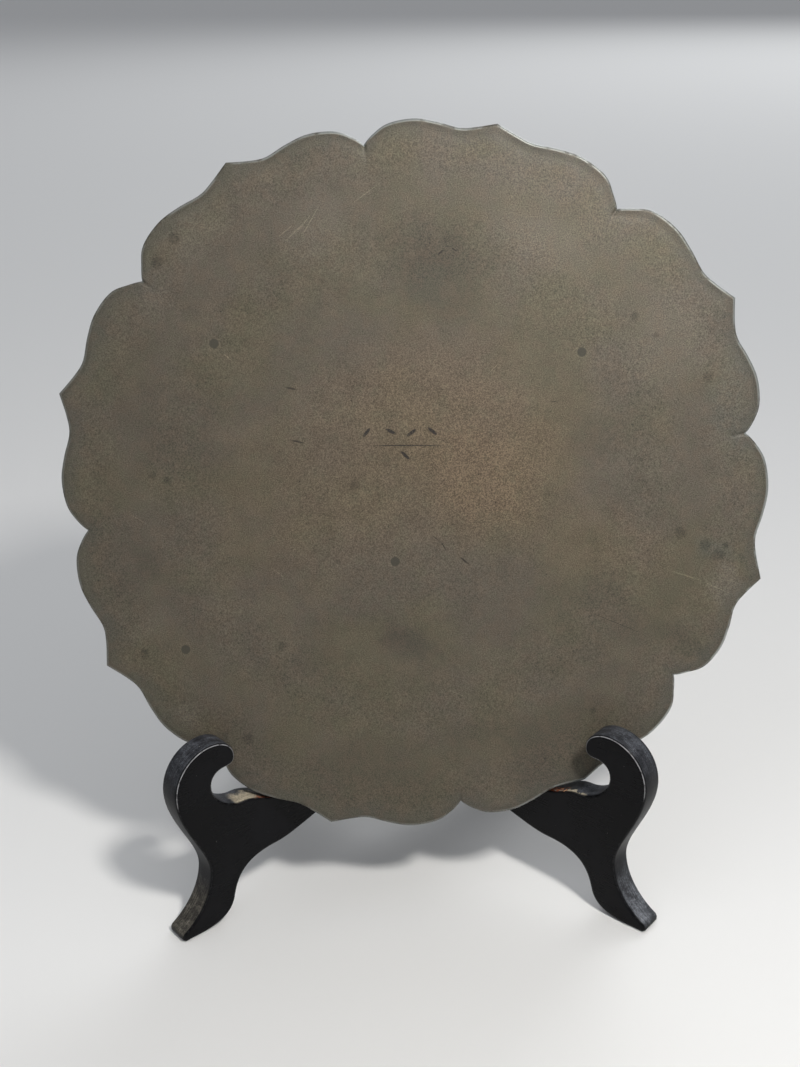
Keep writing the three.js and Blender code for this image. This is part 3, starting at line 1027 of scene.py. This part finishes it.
def blackened(coat, side):
    """The black with dusty streaks, painted paler on upward faces as a sheen, and a few pale specks; also
    that dusty sheen's mask.
    """
    facing = coat.add("ShaderNodeNewGeometry", None, None, "Normal")
    # faces that look up get more dust and a painted sheen, as the light falls from above
    upward = coat.ramp(coat.part(facing, "Z"), -0.1, 0.9)
    body = coat.lay(coat.ramp(coat.mottle, 0.35, 0.7), paint(12, 12, 15), paint(7, 7, 9))
    toe_top = coat.ramp(coat.height, 24, 14)
    dust_and_sheen = coat.narrow * (0.04 + 0.96 * upward) * (0.35 + 0.65 * coat.ramp(coat.streaks, 0.34, 0.68))
    patches = coat.ramp(coat.cloud(3.6, 4.0, 0.65), 0.38, 0.6)
    dust_and_sheen = dust_and_sheen * (0.5 + 0.5 * coat.granular) * (0.4 + 0.6 * patches)
    # grey of dust and painted sheen, paler on the toe tops as a painted reflection
    grey = coat.lay(toe_top, TOE_DUST_AND_SHEEN[side], paint(108, 111, 118))
    body = coat.lay(dust_and_sheen * (0.68 + 0.32 * toe_top), grey, body)
    specks = coat.greater(coat.grains(5.5, 0.26, 0.22), coat.grains(2.6, 0.16, 0.12))
    return coat.lay(specks * 0.5, paint(150, 148, 146), body), dust_and_sheen


# %% The arrises, rubbed thin and with a painted highlight on the hook, and hardly at all elsewhere
def rubbed_thin_and_highlit(coat, body):
    """The two long edges as pale, broken lines of wear and painted highlight, strongest on the hook."""
    level = coat.level
    near = coat.ramp(level, 0.06, 0.14) * coat.ramp(level, 0.34, 0.2)
    far = coat.ramp(level, BOARD - 0.06, BOARD - 0.14) * coat.ramp(level, BOARD - 0.34, BOARD - 0.2)
    on_hook = coat.ramp(coat.height, 48, 60) * coat.ramp(coat.along, 48, 24)
    patchy = coat.ramp(coat.cloud(2.2, 3.0, 0.6) + 0.15 * on_hook, 0.4, 0.68)
    # the pale line is wear and a painted highlight where the light catches the hook's edge
    thin = coat.greater(near, far * 0.5) * patchy * (0.07 + 0.93 * on_hook)
    return coat.lay(thin * 0.75, paint(158, 158, 160), body)


# %% The seat, where the bronze has rubbed through
BARE_ENDS = {-1: (37, 32), 1: (46, 42)}  # where along the board the bare wood gives out
BARE_REACH = {-1: (7.2, 4.2), 1: (1.1, 0.4)}  # and how far across its thickness
LIP_REACH = {-1: (2.0, 1.0), 1: (3.4, 1.6)}  # how far across the red priming shows


def seated(coat, side, body):
    """Bare wood, beads of priming and dulled black on the seat; also where each of them is."""
    along, level = coat.along, coat.level
    ragged = coat.cloud(2.6, 4.0, 0.65) - 0.5
    beads = coat.ramp(coat.cloud(0.9, 2.0, 0.6), 0.44, 0.56)
    on_seat = coat.ramp(coat.height, 39.5, 41) * coat.ramp(coat.height, 52, 49)
    front = coat.ramp(along + 5 * ragged, 24.5, 26.5) * coat.ramp(along + 7 * ragged, *BARE_ENDS[side])
    across = coat.ramp(level + 7 * ragged, *BARE_REACH[side])
    bare = on_seat * front * across * coat.ramp(level, 0.25, 0.7)
    lip = coat.ramp(level + 2.5 * ragged, *LIP_REACH[side]) * coat.ramp(level, 0.12, 0.4)
    primed = on_seat * coat.ramp(along, 32, 34) * coat.ramp(along, 47, 44) * lip * beads
    wood = coat.lay(coat.ramp(coat.streaks, 0.35, 0.7), paint(136, 126, 108), paint(178, 168, 148))
    wood = coat.times(wood, 0.8 + 0.4 * coat.granular)
    red = coat.lay(coat.ramp(ragged, 0.0, 0.12), paint(196, 150, 112), paint(122, 60, 36))
    dull = on_seat * coat.narrow * coat.ramp(along, 28, 34) * 0.6
    body = coat.lay(dull, paint(46, 47, 43), body)
    body = coat.lay(bare * 0.92, wood, body)
    return coat.lay(primed * 0.9, red, body), bare, primed, dull


# %% The finish of one board
def lacquered(material, side):
    """Black lacquer that lies along one board; side is -1 for the left one and 1 for the right one."""
    coat = lie_on_board(material, side)
    body, dust_and_sheen = blackened(coat, side)
    body = rubbed_thin_and_highlit(coat, body)
    body, bare, primed, dull = seated(coat, side, body)
    lengthwise = {"X": coat.along / 24, "Y": coat.level / 9, "Z": coat.height / 1.1}
    rubbing = coat.cloud(1.0, 2.0, 0.6, coat.add("ShaderNodeCombineXYZ", None, lengthwise))
    roughness = 0.28 + (0.14 + 0.3 * (coat.streaks - 0.5)) * coat.narrow + 0.12 * (coat.mottle - 0.5)
    worn = coat.greater(bare, primed, dull)
    roughness = roughness + 0.08 * (rubbing - 0.5) + 0.25 * worn + 0.1 * dust_and_sheen
    rise = 0.005 * rubbing + 0.012 * coat.streaks * coat.narrow - 0.1 * coat.greater(bare, primed)
    coat.close(rise, Base_Color=body, Roughness=roughness, Specular_IOR_Level=0.11)


lacquered(lacquer_left, -1)
lacquered(lacquer_right, 1)

# %% [markdown]
# ## Setting it up
#
# Nothing on the object moves, so all three pieces ride on the one body, and each hides the solid that it
# was made from. The camera looks down on the mirror from a little above its top. A small hard lamp draws
# the grain, two broad soft ones fill the shadows and light the edges, and the sky is as pale as the far
# floor, so that no line shows between them.

# %% Ride on the body and hide the solids
for piece, node, slot in (
    (mirror, "bronze_mirror", "patinated_bronze"),
    (left_board, "stand_board_left", "black_lacquered_wood"),
    (right_board, "stand_board_right", "black_lacquered_wood"),
):
    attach(piece, "root")
    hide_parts(node)

# %% Camera
EYE = Vector((1.4, -368.3, 311.3))
DOWN, ASIDE, ROLL = math.radians(23.49), math.radians(-0.41), math.radians(-1.48)
ahead = Vector((math.sin(ASIDE) * math.cos(DOWN), math.cos(ASIDE) * math.cos(DOWN), -math.sin(DOWN)))
level = Vector((math.cos(ASIDE), -math.sin(ASIDE), 0))
above = level.cross(ahead)
right = level * math.cos(ROLL) + above * math.sin(ROLL)
top = above * math.cos(ROLL) - level * math.sin(ROLL)
lens = bpy.data.cameras.new("camera")
lens.sensor_width = 36
lens.lens = 45.55
lens.clip_start = 0.01
camera = link("camera", lens)
camera.matrix_world = Matrix((
    (right.x, top.x, -ahead.x, placed(EYE).x),
    (right.y, top.y, -ahead.y, placed(EYE).y),
    (right.z, top.z, -ahead.z, placed(EYE).z),
    (0, 0, 0, 1),
))
bpy.context.scene.camera = camera
far = (placed(EYE) - placed(CENTRE)).length
print("from the camera to the middle of the mirror:", round(far, 3), "m")

# %% Floor
bpy.ops.mesh.primitive_plane_add(size=60)
floor = bpy.context.object
floor.name = "floor"
paper = bpy.data.materials.new("pale_floor")
paper.use_nodes = True
paper.node_tree.nodes["Principled BSDF"].inputs["Base Color"].default_value = (0.72, 0.715, 0.7, 1)
paper.node_tree.nodes["Principled BSDF"].inputs["Roughness"].default_value = 0.8
floor.data.materials.append(paper)


# %% Lights
MIDDLE = Vector((0, 0, 0.12))


def lamp(name, towards, distance, size, power, colour):
    """A square soft light that looks at the middle of the object."""
    data = bpy.data.lights.new(name, "AREA")
    data.size = size
    data.energy = power
    data.color = colour
    made = link(name, data)
    way = Vector(towards).normalized()
    made.location = MIDDLE + way * distance
    made.rotation_euler = way.to_track_quat("Z", "Y").to_euler()


lamp("key", (0.335, -0.59, 0.735), 0.7, 0.09, 4.2, (1.0, 0.98, 0.95))
lamp("fill", (-0.6, -0.5, 0.75), 5.0, 3.3, 23.0, (0.93, 0.96, 1.0))
lamp("rear", (0.4, 0.8, 0.6), 5.0, 2.8, 85.0, (0.96, 0.98, 1.0))
HORIZON = (0.262, 0.268, 0.28)  # what the far floor sends back
ZENITH = (0.40, 0.415, 0.445)
world = bpy.data.worlds.new("studio")
world.use_nodes = True
sky = Bench(world.node_tree)
way_out = sky.add("ShaderNodeTexCoord", None, None, "Generated")
graded = {0: sky.part(way_out, "Z"), 4: HORIZON, 5: ZENITH}
sky.plug(world.node_tree.nodes["Background"].inputs["Color"],
         sky.add("ShaderNodeMix", {"data_type": "VECTOR"}, graded, 1))
bpy.context.scene.world = world
bpy.context.scene.view_settings.view_transform = "Standard"
